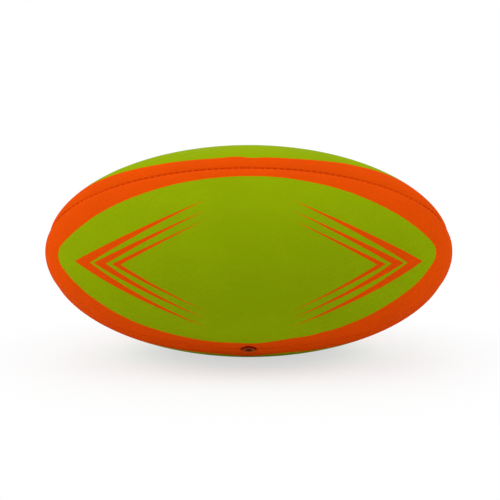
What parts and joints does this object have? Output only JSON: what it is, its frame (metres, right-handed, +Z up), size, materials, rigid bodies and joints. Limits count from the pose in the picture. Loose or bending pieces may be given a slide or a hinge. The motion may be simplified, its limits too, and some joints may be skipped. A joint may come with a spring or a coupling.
{
  "type": "rugby ball",
  "caption": "Oval sewn ball: rubber panels with turned-in hems over fabric linings and a bladder, stitched seams, and an inflation valve with a pull-out plug in one seam.",
  "frame": {"origin": "centre of the ball", "axes": "+X along the long axis from tip to tip, -Y out of the front panel, +Z up out of the top panel"},
  "size_m": [0.29, 0.151, 0.151],
  "materials": {
    "panel_rubber": "matt printed rubber with a fine pimpled grip",
    "lining_fabric": "woven backing",
    "seam_thread": "waxed twisted thread",
    "bladder_rubber": "smooth moulded rubber",
    "patch_fabric": "stiffened woven patch",
    "valve_rubber": "moulded rubber",
    "plug_rubber": "moulded rubber"
  },
  "bodies": {
    "ball": {"front_panel": "panel_rubber", "top_panel": "panel_rubber", "rear_panel": "panel_rubber", "bottom_panel": "panel_rubber", "front_lining": "lining_fabric", "top_lining": "lining_fabric", "rear_lining": "lining_fabric", "bottom_lining": "lining_fabric", "upper_front_thread": "seam_thread", "lower_front_thread": "seam_thread", "upper_rear_thread": "seam_thread", "lower_rear_thread": "seam_thread", "bladder": "bladder_rubber", "valve_patch": "patch_fabric", "valve_housing": "valve_rubber"},
    "plug": {"valve_core": "plug_rubber"}
  },
  "joints": [
    {"name": "plug_pull", "type": "slide", "parent": "ball", "child": "plug", "axis": [0, -0.6157, -0.788], "range_m": [0, 0.016]}
  ]
}
